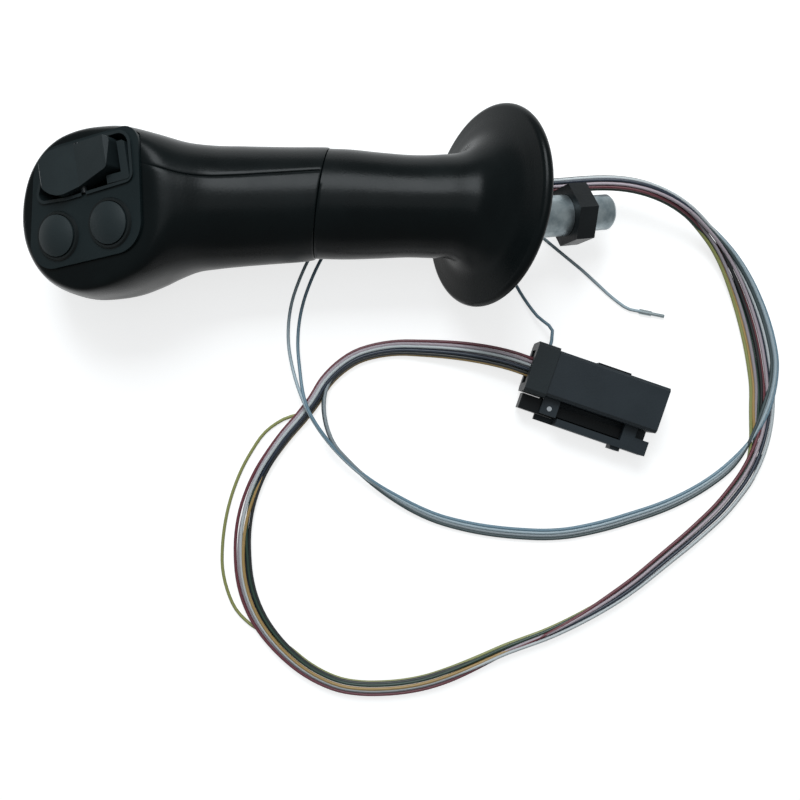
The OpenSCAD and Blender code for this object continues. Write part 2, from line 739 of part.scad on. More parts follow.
// A solid tube swept along a route, with eight sides; it keeps its area where it spreads
module tube(route, d) {
    n = len(route);
    m = 8;
    points = [
        for (i = [0:n - 1])
            let (
                f = heading(route, i),
                l = left_of(f),
                u = cross(f, l),
                w = len(route[i]) > 3 ? route[i][3] : d
            )
                for (k = [0:m - 1])
                    let (t = 360 * (k + 0.5) / m)
                        spot(route[i]) + w / 2 * cos(t) * l + d * d / w / 2 * sin(t) * u
    ];
    walls = [
        for (i = [0:n - 2])
            for (k = [0:m - 1])
                let (a = i * m + k, b = i * m + (k + 1) % m)
                    for (f = [[a, b, b + m], [a, b + m, a + m]]) f
    ];
    caps = [
        [for (k = [m - 1:-1:0]) k],
        [for (k = [0:m - 1]) (n - 1) * m + k]
    ];
    polyhedron(points, [for (f = concat(walls, caps)) [for (j = [len(f) - 1:-1:0]) f[j]]]);
}

grommet_face = rest_centre
    + grommet_at[0] * aside(rest_yaw)
    + grommet_at[1] * upward(rest_yaw, rest_pitch)
    - (rim_r + grommet_flange_t) * rest_axis;

// Where the harness parts into its branches, and the way it heads there
bundle_end = [51, -103, -13.9, 12.4];
bundle_way = [-0.371, -0.928, 0, 0];
loop_start = bundle_end + [1.57, -0.72, -0.1, -4.2];
grey_start = bundle_end + [-4.33, 1.65, -0.5, -8];

bundle_route = concat([grommet_face, grommet_face - 5 * rest_axis], [
    [-41.6, 17.6, 0.4, 7], [-35, 16.6, -1.6, 7], [-27, 15.4, -3, 7], [-17, 14.4, -3.6, 7],
    [-5, 13.4, -3, 7], [8, 11, -1.6, 7], [20.6, 5.6, -0.5, 7], [31.4, -2, -1.8, 7.2],
    [40.2, -11, -5.8, 8], [47.8, -21.5, -9.8, 9.6], [53.2, -33.5, -12.6, 11.6],
    [56.6, -45.5, -14.07, 13.4], [58.4, -58, -14.2, 14.4], [58.8, -70, -14.2, 14.4],
    [57.8, -82, -14.1, 13.6], [55, -93, -13.99, 12.8], bundle_end
]);

loop_route = [
    loop_start, loop_start + 4 * bundle_way,
    [45, -114.5, -14.08, 8.6], [34, -125.5, -14.12, 8.8], [21, -134.8, -14.03, 8.4],
    [5, -144.6, -13.89, 7.8], [-10, -153.4, -13.78, 7.4], [-27, -161.2, -13.66, 7],
    [-46, -167.8, -13.59, 6.8], [-65, -172.2, -13.52, 6.6], [-82, -177, -13.52, 6.6],
    [-100, -180.6, -13.52, 6.6], [-119, -180.4, -13.52, 6.6], [-136, -176.4, -13.52, 6.6],
    [-148, -168.6, -13.59, 6.8], [-158, -157.4, -13.72, 7.2], [-165, -145, -13.89, 7.8],
    [-168.4, -132, -13.99, 8.2], [-168.2, -117, -13.99, 8.2], [-165, -102, -13.84, 7.6],
    [-157, -86, -13.52, 6.6], [-145, -72, -13.29, 6], [-131, -59.5, -13.29, 6],
    [-121, -48.5, -13.37, 6.2], [-109, -42, -13.52, 6.6], [-94, -40.6, -13.66, 7],
    [-79, -43, -12, 7.6], [-64, -46.6, -9.8, 8.4]
];

grey_route = [
    grey_start, grey_start + 4 * bundle_way,
    [37, -111.4, -14.49, 4.6], [24, -118, -14.6, 5], [10, -122.6, -14.7, 5.4],
    [-5, -125.4, -14.74, 5.6], [-20, -127.4, -14.74, 5.6], [-36, -127.8, -14.74, 5.6],
    [-54, -124.8, -14.74, 5.6], [-72, -119.6, -14.7, 5.4], [-88, -112.4, -14.3, 5],
    [-101, -103, -13.2, 4.6], [-113, -91.4, -11.4, 4.2], [-123.4, -77, -9.2, 3.8],
    [-130.8, -61, -8, 3.6], [-133.6, -50, -8.6, 3.6]
];

spare_short_route = [
    [-132.5, -49.4, -8.9], [-132.8, -42, -11.4], [-132.4, -33, -14.2], [-129.6, -21, -15.25],
    [-123.4, -8, -15.25], [-115, 4, -15.25], [-104, 15, -15.25], [-90, 22.6, -15.25],
    [-76, 26, -15.25], [-62, 24.6, -15.25], [-51, 15, -15.25], [-44.4, -2, -15.25],
    [-38.4, -22, -15.25], [-33.4, -34, -13.6]
];

crimp_turn = -20;
crimp_at = [11, -40.6, table_z + 1.1];
crimp_way = [cos(crimp_turn), sin(crimp_turn), 0];
spare_long_route = [
    [-134.6, -49.9, -8.9], [-135.8, -42, -11.4], [-136.2, -32, -14.2], [-133.4, -18, -15.25],
    [-126.4, -4, -15.25], [-117, 8.6, -15.25], [-104, 19.6, -15.25], [-90, 27, -15.25],
    [-75, 30.6, -15.25], [-59, 29, -15.25], [-45, 19.4, -15.25], [-32, 4.8, -15.25],
    [-20, -9, -15.25], [-8, -22.4, -15.25], [1, -33.6, -15], crimp_at - 4 * crimp_way, crimp_at
];

stray_route = [
    [-140.6, -63, -13.4], [-149, -65.6, -15.2], [-160, -76.6, -15.25], [-169, -91, -15.25],
    [-175, -107, -15.25], [-177.6, -124, -15.25], [-174.6, -139, -15.25], [-165.1, -153.4, -13.4]
];

// Wires inside the handle, from the grommet up to the switch board
loom_d = 5;
loom_board_at = [13, 4];
loom_route = concat(
    [grommet_face + 0.4 * rest_axis, grommet_face + 5 * rest_axis],
    [
        [-60, 17.4, 11.8], [-68, 13, 14.4], [-84, 12, 15], [-112, 16.5, 14], [-140, 19.6, 10],
        [-163, 23, 8], [-175, 26.6, 9.6]
    ],
    [
        from_face([loom_board_at[0], loom_board_at[1], -board_top - board_t - 6]),
        from_face([loom_board_at[0], loom_board_at[1], -board_top - board_t])
    ]
);

module inner_loom() { color("#4a3d36") tube(loom_route, loom_d); }
module harness_bundle() { color("#8a97a3") tube(bundle_route, bundle_d); }
module harness_loop() {
    color("#6b4a3c")
        tube(concat(loop_route, [flat_end(seal_face - 9 * conn_along), flat_end(seal_face)]), loop_d);
}
module harness_grey() { color("#9aa0a6") tube(grey_route, grey_d); }
module spare_wire_short() {
    color("#6f7377") tube(concat(spare_short_route, [cover_side + 5 * conn_aside, cover_side]), wire_d);
}
module spare_wire_long() { color("#6f7377") tube(spare_long_route, wire_d); }
module stray_wire() { color("#a9ad3c") tube(stray_route, wire_d); }

// ---- Connector ----

conn_place = [-39.3, -56.7, table_z];
conn_yaw = -27.5;
cover_len = 9;
cover_proud = 0.9;
cover_wall = 1.6;
seal_t = 2.4;
body_from = cover_wall + seal_t;
pin_d = 1.1;
pin_reach = 9;
latch_from = 1;
latch_to = conn_len - 7;
latch_low = 2.5;
latch_h = 5.5;
pad_h = 8;
pad_out = 1.4;
hinge_x = 13;
hinge_pin_d = 2;
latch_play = 0.3;
latch_y = -conn_w / 2 - latch_gap - latch_w / 2;
lug_len = 7;
lug_t = 1.9;
lug_z = latch_low + pad_h + latch_play;
tray_z = latch_low - latch_play - lug_t;
rail_gap = 0.7;
rail_y = latch_y - latch_w / 2 - rail_gap - rail_w;
rail_top = 11.5;
lock_len = 14;
lock_h = 8;
lock_from = 26;
lock_depth = 2.4;
lock_proud = 1;

function from_conn(p) =
    conn_place + [
        p[0] * cos(conn_yaw) - p[1] * sin(conn_yaw),
        p[0] * sin(conn_yaw) + p[1] * cos(conn_yaw),
        p[2]
    ];
conn_along = [cos(conn_yaw), sin(conn_yaw), 0];
conn_aside = [-sin(conn_yaw), cos(conn_yaw), 0];
seal_face = from_conn([cover_wall, 0, conn_h / 2]);

// The coloured branch spreads to this width where it enters the connector
loop_spread = 8.8;
function flat_end(p) = [p[0], p[1], p[2], loop_spread];
cover_side = from_conn([6, conn_w / 2 + cover_proud, 6]);

module on_conn() { translate(conn_place) rotate([0, 0, conn_yaw]) children(); }

// A block along the connector with its long edges chamfered
module long_block(x, y, z, l, w, h, c) {
    translate([x + l, y, z]) rotate([90, 0, -90]) mirror([1, 0, 0]) linear_extrude(l)
        polygon([
            [c - w / 2, 0], [w / 2 - c, 0], [w / 2, c], [w / 2, h - c],
            [w / 2 - c, h], [c - w / 2, h], [-w / 2, h - c], [-w / 2, c]
        ]);
}

module conn_contact_places() {
    for (i = [0:conn_cols - 1])
        for (z = [-2.2, 2.2])
            translate([0, (i - (conn_cols - 1) / 2) * conn_pitch, conn_h / 2 + z]) children();
}

// Floor under the latch arm, the rail outside it and the catch that it snaps behind
module latch_tray() {
    out = -conn_w / 2 - rail_y + 1;
    rail_from = hinge_x + lug_len / 2 + 1;
    translate([hinge_x - lug_len / 2, rail_y, tray_z])
        cube([conn_len - hinge_x + lug_len / 2, out, lug_t]);
    translate([rail_from, rail_y, tray_z]) cube([conn_len - rail_from, rail_w, rail_top - tray_z]);
    translate([latch_to - 4.5, rail_y, latch_low + latch_h + latch_play])
        cube([5.5, out, rail_top - latch_low - latch_h - latch_play]);
    translate([latch_to + 1, rail_y, tray_z]) cube([conn_len - latch_to - 1, 6, rail_top - tray_z]);
    translate([latch_to - 7, rail_y - 1.5, 2]) cube([4, 2, rail_top - 4]);
}

module connector_body() {
    inner_w = conn_w + 2 * cover_proud - 2 * cover_wall - 2 * fit_gap;
    inner_h = conn_h + cover_proud - 2 * cover_wall - 2 * fit_gap;
    color("#1f2327") on_conn() difference() {
        union() {
            long_block(cover_len, 0, 0, conn_len - cover_len, conn_w, conn_h, 1.2);
            long_block(body_from, 0, cover_wall + fit_gap, cover_len - body_from + 1, inner_w, inner_h, 0.6);
            translate([hinge_x - lug_len / 2, latch_y - latch_w / 2 - rail_gap, lug_z])
                cube([lug_len, latch_w + rail_gap + latch_gap + 1, lug_t]);
            latch_tray();
        }
        translate([conn_len - cavity_len, -conn_w / 2 + conn_wall, conn_wall])
            cube([cavity_len + 1, conn_w - 2 * conn_wall, conn_h - 2 * conn_wall]);
        conn_contact_places() rotate([0, 90, 0]) cylinder(d = pin_d, h = conn_len, $fn = 16);
        translate([hinge_x, latch_y, -1]) cylinder(d = hinge_pin_d, h = conn_h + 2, $fn = 24);
        translate([lock_from - fit_gap, conn_w / 2 - lock_depth, conn_h / 2 - lock_h / 2 - fit_gap])
            cube([lock_len + 2 * fit_gap, lock_depth + 1, lock_h + 2 * fit_gap]);
    }
}

// Rear cover over the seal, with a window for the wires
module connector_cover() {
    outer_w = conn_w + 2 * cover_proud;
    outer_h = conn_h + cover_proud;
    color("#262b30") on_conn() difference() {
        long_block(0, 0, 0, cover_len, outer_w, outer_h, 1.4);
        long_block(cover_wall, 0, cover_wall, cover_len,
            outer_w - 2 * cover_wall, outer_h - 2 * cover_wall, 0.6);
        translate([-1, -7, conn_h / 2 - 4.5]) cube([cover_wall + 2, 14, 9]);
    }
}

module connector_seal() {
    outer_w = conn_w + 2 * cover_proud;
    outer_h = conn_h + cover_proud;
    color("#7a2f22") on_conn() difference() {
        long_block(cover_wall, 0, cover_wall + 0.1, seal_t, outer_w - 2 * cover_wall - 0.2,
            outer_h - 2 * cover_wall - 0.2, 0.7);
        conn_contact_places() translate([cover_wall + 1, 0, 0]) rotate([0, 90, 0])
            cylinder(d = pin_d, h = seal_t, $fn = 16);
    }
}

// Contacts, from the seal through the body into the mating cavity
module connector_pins() {
    color("#c8a24a") on_conn() conn_contact_places()
        translate([cover_wall + 1, 0, 0]) rotate([0, 90, 0])
            cylinder(d = pin_d, h = conn_len - cavity_len + pin_reach - cover_wall - 1, $fn = 16);
}

// Latch: a thumb pad behind the hinge and an arm that swings towards the body
module connector_latch() {
    pad_y = latch_y - latch_w / 2 - pad_out;
    pad_w = -conn_w / 2 - cover_proud - 2 * latch_play - pad_y;
    color("#262b30") on_conn() difference() {
        union() {
            translate([latch_from, pad_y, latch_low]) cube([hinge_x + 2.5 - latch_from, pad_w, pad_h]);
            translate([hinge_x, latch_y - latch_w / 2, latch_low])
                cube([latch_to - hinge_x, latch_w, latch_h]);
        }
        translate([hinge_x, latch_y, -1])
            cylinder(d = hinge_pin_d + 2 * run_gap, h = conn_h + 2, $fn = 24);
    }
}

module latch_pin() {
    color(colour_steel) on_conn() translate([hinge_x, latch_y, tray_z])
        cylinder(d = hinge_pin_d, h = lug_z + lug_t - tray_z, $fn = 24);
}

// Secondary lock that slides out of the connector's side to free the contacts
module connector_lock() {
    color("#394047") on_conn()
        translate([lock_from, conn_w / 2 - lock_depth + 0.1, conn_h / 2 - lock_h / 2])
            cube([lock_len, lock_depth - 0.1 + lock_proud, lock_h]);
}

// Crimped pin on the end of the long spare wire
module crimp_pin() {
    color(colour_steel) translate(crimp_at) rotate([0, 90, crimp_turn]) {
        cylinder(d = 2.2, h = 5, $fn = 24);
        translate([0, 0, 4.5]) cylinder(d = 1.5, h = 6, $fn = 24);
    }
}

lower_grip();
shell_rocker_side();
shell_button_side();
joining_ring();
shell_screws();
base_plate();
base_screws();
lever_sleeve();
set_screws();
lock_nut();
wire_grommet();
switch_plate();
rocker_bezel();
rocker_pin();
rocker_cap();
rocker_switch();
button_ring_front();
button_ring_rear();
button_front();
button_rear();
button_switches();
switch_board();
board_screws();
inner_loom();
connector_body();
connector_cover();
connector_seal();
connector_pins();
connector_latch();
latch_pin();
connector_lock();
crimp_pin();
harness_bundle();
harness_loop();
harness_grey();
spare_wire_short();
spare_wire_long();
stray_wire();
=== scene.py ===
import bmesh
import bpy
import math
import numpy as np
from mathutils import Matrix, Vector


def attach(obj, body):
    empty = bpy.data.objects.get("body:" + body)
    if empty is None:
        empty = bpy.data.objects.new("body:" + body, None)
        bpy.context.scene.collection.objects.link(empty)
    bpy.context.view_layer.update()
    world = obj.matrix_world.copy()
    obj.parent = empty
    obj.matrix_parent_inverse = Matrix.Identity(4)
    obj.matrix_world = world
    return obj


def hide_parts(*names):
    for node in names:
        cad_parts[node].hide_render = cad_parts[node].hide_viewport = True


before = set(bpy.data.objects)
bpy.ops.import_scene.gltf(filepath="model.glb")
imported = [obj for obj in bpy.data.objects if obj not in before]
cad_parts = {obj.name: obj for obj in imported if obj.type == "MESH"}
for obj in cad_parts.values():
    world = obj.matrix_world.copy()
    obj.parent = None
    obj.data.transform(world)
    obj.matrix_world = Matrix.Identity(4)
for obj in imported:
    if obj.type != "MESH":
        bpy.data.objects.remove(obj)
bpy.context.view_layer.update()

MM = 0.001
TABLE_Z = -16.0
FLOOR_GAP = 0.02
LEVER_PITCH = math.radians(20)
BEVEL_ANGLE = math.radians(35)
SHARP_ANGLE = math.radians(38)


# ---- Materials ----

def linear(code):
    """The linear colour of an sRGB hex code."""
    parts = [int(code[i:i + 2], 16) / 255 for i in (1, 3, 5)]
    return [v / 12.92 if v <= 0.04045 else ((v + 0.055) / 1.055) ** 2.4 for v in parts] + [1.0]


def put(tree, kind, settings=(), links=()):
    """Adds a node, sets its sockets and properties, and links (socket, other node, its output)."""
    n = tree.nodes.new(kind)
    for name, value in dict(settings).items():
        if name in n.inputs:
            n.inputs[name].default_value = value
        else:
            setattr(n, name, value)
    for name, other, output in links:
        tree.links.new(other.outputs[output], n.inputs[name])
    return n


def new_material(name):
    m = bpy.data.materials.new(name)
    m.use_nodes = True
    m.node_tree.nodes.clear()
    return m, m.node_tree


def ramp(tree, source, output, stops):
    """A colour ramp through (place, grey level) or (place, hex) stops."""
    r = put(tree, "ShaderNodeValToRGB", links=[("Fac", source, output)])
    while len(r.color_ramp.elements) < len(stops):
        r.color_ramp.elements.new(0.5)
    for e, (at, value) in zip(r.color_ramp.elements, stops):
        e.position = at
        e.color = linear(value) if isinstance(value, str) else (value, value, value, 1)
    return r


def plastic(name, colour, paler, rough, grain_mm, depth_mm, spread=0.06, specular=0.5):
    """Moulded plastic: one colour with faint patches, and a fine grain from the mould."""
    m, t = new_material(name)
    place = put(t, "ShaderNodeTexCoord")
    patches = put(t, "ShaderNodeTexNoise", {"Scale": 45.0, "Detail": 4.0, "Roughness": 0.6},
                  [("Vector", place, "Object")])
    shade = ramp(t, patches, "Fac", [(0.35, colour), (0.7, paler)])
    gloss = ramp(t, patches, "Fac", [(0.3, max(rough - spread, 0.05)), (0.75, rough + spread)])
    grain = put(t, "ShaderNodeTexNoise", {"Scale": 1000.0 / grain_mm, "Detail": 2.0},
                [("Vector", place, "Object")])
    bump = put(t, "ShaderNodeBump", {"Distance": depth_mm * MM, "Strength": 1.0},
               [("Height", grain, "Fac")])
    shader = put(t, "ShaderNodeBsdfPrincipled", {"Specular IOR Level": specular},
                 [("Base Color", shade, "Color"), ("Roughness", gloss, "Color"), ("Normal", bump, "Normal")])
    put(t, "ShaderNodeOutputMaterial", links=[("Surface", shader, "BSDF")])
    return m


def turned_metal(name, colour, darker, rough, pitch_mm=0.0, axis_turn=0.0):
    """Machined metal with faint stains; pitch_mm gives it fine turning marks along the lever axis."""
    m, t = new_material(name)
    place = put(t, "ShaderNodeTexCoord")
    stains = put(t, "ShaderNodeTexNoise", {"Scale": 160.0, "Detail": 6.0, "Roughness": 0.65},
                 [("Vector", place, "Object")])
    shade = ramp(t, stains, "Fac", [(0.35, darker), (0.62, colour)])
    gloss = ramp(t, stains, "Fac", [(0.3, rough + 0.14), (0.7, rough)])
    links = [("Base Color", shade, "Color"), ("Roughness", gloss, "Color")]
    if pitch_mm:
        turn = put(t, "ShaderNodeMapping", {"Rotation": (0, axis_turn, 0)}, [("Vector", place, "Object")])
        marks = put(t, "ShaderNodeTexWave", {"Scale": 1000.0 / pitch_mm / 20, "Distortion": 0.6,
                                             "bands_direction": "Z", "Detail": 2.0},
                    [("Vector", turn, "Vector")])
        bump = put(t, "ShaderNodeBump", {"Distance": 0.02 * MM, "Strength": 1.0}, [("Height", marks, "Fac")])
        links.append(("Normal", bump, "Normal"))
    shader = put(t, "ShaderNodeBsdfPrincipled", {"Metallic": 1.0}, links)
    put(t, "ShaderNodeOutputMaterial", links=[("Surface", shader, "BSDF")])
    return m


def wire_sheath(name, colour):
    """PVC insulation of one wire."""
    m, t = new_material(name)
    shader = put(t, "ShaderNodeBsdfPrincipled", {"Base Color": linear(colour), "Roughness": 0.38})
    put(t, "ShaderNodeOutputMaterial", links=[("Surface", shader, "BSDF")])
    return m


grip_plastic = plastic("moulded_grip_plastic", "#060b0c", "#0a1011", 0.29, 0.9, 0.025, specular=0.1)
plate_plastic = plastic("switch_plate_plastic", "#121b1d", "#172022", 0.44, 0.7, 0.03, specular=0.18)
button_plastic = plastic("button_plastic", "#1b2325", "#20282a", 0.48, 0.6, 0.03, specular=0.22)
# The button rings are darker than the buttons and the plate: painted shade that stands in for the groove
# round each button.
ring_plastic_groove_shade = plastic("button_ring_plastic_groove_shade", "#0c1112", "#101617", 0.5, 0.6, 0.02, specular=0.2)
rocker_plastic = plastic("rocker_plastic", "#1b2224", "#20282a", 0.45, 0.7, 0.03, specular=0.22)
housing_plastic = plastic("connector_nylon", "#20272c", "#282f34", 0.50, 0.7, 0.04, specular=0.22)
cover_plastic = plastic("connector_cover_nylon", "#1c2326", "#22292c", 0.50, 0.7, 0.04, specular=0.22)
latch_plastic = plastic("latch_nylon", "#0b0e10", "#111416", 0.46, 0.7, 0.03, specular=0.12)
rubber = plastic("grommet_rubber", "#101112", "#161718", 0.7, 0.5, 0.03)
seal_silicone = plastic("seal_silicone", "#6e2c20", "#7d3427", 0.5, 0.8, 0.02)
zinc = turned_metal("zinc_plated_steel", "#9fa9ac", "#79858a", 0.34, 0.9, -LEVER_PITCH)
stub_steel = turned_metal("turned_steel_thread", "#7f8688", "#565d60", 0.40)
screw_steel = turned_metal("screw_steel", "#a7aaad", "#7f8386", 0.32)
nut_steel = plastic("blackened_nut_steel", "#101416", "#181d1f", 0.36, 0.8, 0.04, 0.08, 0.2)
brass = turned_metal("contact_brass", "#c8a24a", "#a5823a", 0.3)
board_green = plastic("circuit_board", "#1f4a2c", "#28583a", 0.5, 1.0, 0.01)
switch_brown = plastic("switch_housing", "#33291f", "#3d3227", 0.5, 0.8, 0.02)

# Each node that keeps its solid: material, slot and the width of its eased edges in mm
CAD_LOOKS = {
    "base_plate": (grip_plastic, "grip_plastic", 0.4),
    "base_screws": (screw_steel, "black_steel", 0.15),
    "joining_ring": (grip_plastic, "grip_plastic", 0.2),
    "shell_screws": (screw_steel, "black_steel", 0.15),
    "lever_sleeve": (zinc, "zinc_steel", 0.35),
    "set_screws": (nut_steel, "black_steel", 0.12),
    "lock_nut": (nut_steel, "black_steel", 0.6),
    "wire_grommet": (rubber, "rubber", 0.35),
    "switch_plate": (plate_plastic, "face_plastic", 0.7),
    "rocker_bezel": (rocker_plastic, "face_plastic", 0.2),
    "rocker_pin": (nut_steel, "black_steel", 0.1),
    "rocker_cap": (rocker_plastic, "face_plastic", 0.5),
    "rocker_switch": (switch_brown, "switch_plastic", 0.2),
    "button_ring_front": (ring_plastic_groove_shade, "face_plastic", 0.25),
    "button_ring_rear": (ring_plastic_groove_shade, "face_plastic", 0.25),
    "button_front": (button_plastic, "face_plastic", 0.35),
    "button_rear": (button_plastic, "face_plastic", 0.35),
    "button_switches": (switch_brown, "switch_plastic", 0.2),
    "switch_board": (board_green, "board", 0.1),
    "board_screws": (screw_steel, "black_steel", 0.1),
    "inner_loom": (rubber, "wire_pvc", 0.0),
    "connector_body": (housing_plastic, "connector_plastic", 0.35),
    "connector_cover": (cover_plastic, "connector_plastic", 0.35),
    "connector_seal": (seal_silicone, "seal_silicone", 0.2),
    "connector_pins": (brass, "contact_brass", 0.0),
    "connector_latch": (latch_plastic, "connector_plastic", 0.35),
    "latch_pin": (screw_steel, "black_steel", 0.1),
    "connector_lock": (latch_plastic, "connector_plastic", 0.25),
    "crimp_pin": (zinc, "zinc_steel", 0.1),
}


def finish_piece(obj, material, edge_mm):
    """Gives a piece its material, and rounds its sharp edges."""
    obj.data.materials.clear()
    obj.data.materials.append(material)
    if edge_mm:
        b = obj.modifiers.new("eased_edges", "BEVEL")
        b.width = edge_mm * MM
        b.segments = 3
        b.limit_method = "ANGLE"
        b.angle_limit = BEVEL_ANGLE
    obj.modifiers.new("smooth_faces", "WEIGHTED_NORMAL")
    for p in obj.data.polygons:
        p.use_smooth = True


for node_name, (material, slot_name, edge_mm) in CAD_LOOKS.items():
    finish_piece(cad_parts[node_name], material, edge_mm)


# ---- Camera, floor and light ----

CAMERA_AT = (-93.6, -62.5, 362)
CAMERA_YAW = math.radians(-8.5)
SKY_LIGHT, SKY_SEEN = 0.12, 0.5
FLOOR_GREY, FLOOR_GLOW = 0.5, 0.76
FLOOR_REACH = 3

camera = bpy.data.objects.new("camera", bpy.data.cameras.new("camera"))
bpy.context.scene.collection.objects.link(camera)
camera.location = [v * MM for v in CAMERA_AT]
camera.rotation_euler = (0, 0, CAMERA_YAW)
camera.data.lens = 40.5
camera.data.sensor_width = 36
camera.data.clip_start = 0.01
bpy.context.scene.camera = camera

world = bpy.data.worlds.new("studio")
bpy.context.scene.world = world
world.use_nodes = True


def seen_or_mirrored(tree):
    """A node that gives 1 where a surface is seen by the camera, in a mirror or through glass."""
    ray = put(tree, "ShaderNodeLightPath")
    first = put(tree, "ShaderNodeMath", {"operation": "MAXIMUM"})
    tree.links.new(ray.outputs["Is Camera Ray"], first.inputs[0])
    tree.links.new(ray.outputs["Is Glossy Ray"], first.inputs[1])
    both = put(tree, "ShaderNodeMath", {"operation": "MAXIMUM"})
    tree.links.new(first.outputs[0], both.inputs[0])
    tree.links.new(ray.outputs["Is Transmission Ray"], both.inputs[1])
    return both


def make_sky(tree):
    """A dim sky that is pale where it is seen or mirrored."""
    tree.nodes.clear()
    light = put(tree, "ShaderNodeBackground", {"Color": linear("#d5e6ea"), "Strength": SKY_LIGHT})
    pale = put(tree, "ShaderNodeBackground", {"Color": linear("#f2f6f7"), "Strength": SKY_SEEN})
    seen = put(tree, "ShaderNodeMixShader", links=[("Fac", seen_or_mirrored(tree), "Value")])
    tree.links.new(light.outputs[0], seen.inputs[1])
    tree.links.new(pale.outputs[0], seen.inputs[2])
    put(tree, "ShaderNodeOutputWorld", links=[("Surface", seen, "Shader")])


make_sky(world.node_tree)
bpy.context.scene.view_settings.view_transform = "Standard"


def soft_light(name, at_mm, aim_mm, size_mm, watts, colour):
    """A square area light that faces a point."""
    data = bpy.data.lights.new(name, "AREA")
    data.size = size_mm * MM
    data.energy = watts
    data.color = linear(colour)[:3]
    lamp = bpy.data.objects.new(name, data)
    bpy.context.scene.collection.objects.link(lamp)
    at, aim = Vector(at_mm) * MM, Vector(aim_mm) * MM
    lamp.location = at
    lamp.rotation_euler = (aim - at).to_track_quat("-Z", "Y").to_euler()


soft_light("window_light", (-70, 430, 560), (-90, 20, 0), 380, 4.5, "#f4fbff")
soft_light("room_light", (-60, 160, 900), (-60, 0, 0), 700, 1.6, "#f6fbff")


def make_floor():
    """A wide white floor; the camera sees it lit from inside, so only its shadows darken it."""
    mesh = bpy.data.meshes.new("floor")
    r, z = FLOOR_REACH, (TABLE_Z - FLOOR_GAP) * MM
    mesh.from_pydata([(-r, -r, z), (r, -r, z), (r, r, z), (-r, r, z)], [], [(0, 1, 2, 3)])
    floor = bpy.data.objects.new("floor", mesh)
    bpy.context.scene.collection.objects.link(floor)
    m, t = new_material("white_paper")
    matt = put(t, "ShaderNodeBsdfDiffuse", {"Color": (FLOOR_GREY, FLOOR_GREY, FLOOR_GREY, 1)})
    glow = put(t, "ShaderNodeEmission", {"Color": (1, 1, 1, 1), "Strength": FLOOR_GLOW})
    dark = put(t, "ShaderNodeEmission", {"Color": (0, 0, 0, 1), "Strength": 0.0})
    seen = put(t, "ShaderNodeMixShader", links=[("Fac", seen_or_mirrored(t), "Value")])
    t.links.new(dark.outputs[0], seen.inputs[1])
    t.links.new(glow.outputs[0], seen.inputs[2])
    both = put(t, "ShaderNodeAddShader")
    t.links.new(matt.outputs[0], both.inputs[0])
    t.links.new(seen.outputs[0], both.inputs[1])
    put(t, "ShaderNodeOutputMaterial", links=[("Surface", both, "Shader")])
    floor.data.materials.append(m)


make_floor()


# ---- Harness: the routes of part.scad, in millimetres, and the wires that lie along them ----

WIRE_D = 1.4
BUNDLE_D, LOOP_D, GREY_D = 7.0, 5.6, 3.6
STEP = 3.0
REST_R, RIM_R = 38.5, 2.2
REST_YAW, REST_PITCH = 12.5, 30
GROMMET_REACH = 17.0
GROMMET_TURN = math.radians(-46.3)
GROMMET_OUT = 1.2
BUNDLE_END = np.array([51, -103, -13.9])
BUNDLE_WAY = np.array([-0.371, -0.928, 0])
CONN_PLACE = np.array([-39.3, -56.7, TABLE_Z])
CONN_YAW = math.radians(-27.5)
CONN_W, CONN_H, COVER_T = 19.0, 17.5, 0.9
SEAL_INSET = 1.6
SPARE_ALONG, SPARE_UP = 6, 6
CRIMP_YAW = math.radians(-20)
# Where the two shorter grey wires join the loop
CROSSING = np.array([-121, -48.5, -11.5])


def turned(yaw, pitch):
    """The direction along the grip, to its side and up, for a yaw and pitch in degrees."""
    a, b = math.radians(yaw), math.radians(pitch)
    along = np.array([-math.cos(a) * math.cos(b), math.sin(a) * math.cos(b), math.sin(b)])
    side = np.array([math.sin(a), math.cos(a), 0.0])
    up = np.array([math.sin(b) * math.cos(a), -math.sin(b) * math.sin(a), math.cos(b)])
    return along, side, up


rest_along, rest_side, rest_up = turned(REST_YAW, REST_PITCH)
rest_rise = (REST_R - RIM_R) * math.cos(math.radians(REST_PITCH))
rest_centre = np.array([-50, 5.9, TABLE_Z + rest_rise + RIM_R])
grommet_face = (rest_centre + GROMMET_REACH * math.cos(GROMMET_TURN) * rest_side
                + GROMMET_REACH * math.sin(GROMMET_TURN) * rest_up
                - (RIM_R + GROMMET_OUT) * rest_along)

# Bundle, loop and grey branch: x, y, z and the width that the wires spread to
bundle_route = [[*grommet_face, 5.4], [*(grommet_face - 5 * rest_along), 6]] + [
    [-41.6, 17.6, 0.4, 7], [-35, 16.6, -1.6, 7], [-27, 15.4, -3, 7], [-17, 14.4, -3.6, 7],
    [-5, 13.4, -3, 7], [8, 11, -1.6, 7], [20.6, 5.6, -0.5, 7], [31.4, -2, -1.8, 7.2],
    [40.2, -11, -5.8, 8], [47.8, -21.5, -9.8, 9.6], [53.2, -33.5, -12.6, 11.6],
    [56.6, -45.5, -14.07, 13.4], [58.4, -58, -14.2, 14.4], [58.8, -70, -14.2, 14.4],
    [57.8, -82, -14.1, 13.6], [55, -93, -13.99, 12.8], [*BUNDLE_END, 12.4]]
loop_start = BUNDLE_END + np.array([1.57, -0.72, -0.1])
conn_along = np.array([math.cos(CONN_YAW), math.sin(CONN_YAW), 0])
conn_aside = np.array([-math.sin(CONN_YAW), math.cos(CONN_YAW), 0])
seal_face = CONN_PLACE + SEAL_INSET * conn_along + np.array([0, 0, CONN_H / 2])
cover_side = (CONN_PLACE + SPARE_ALONG * conn_along + (CONN_W / 2 + COVER_T) * conn_aside
              + np.array([0, 0, SPARE_UP]))
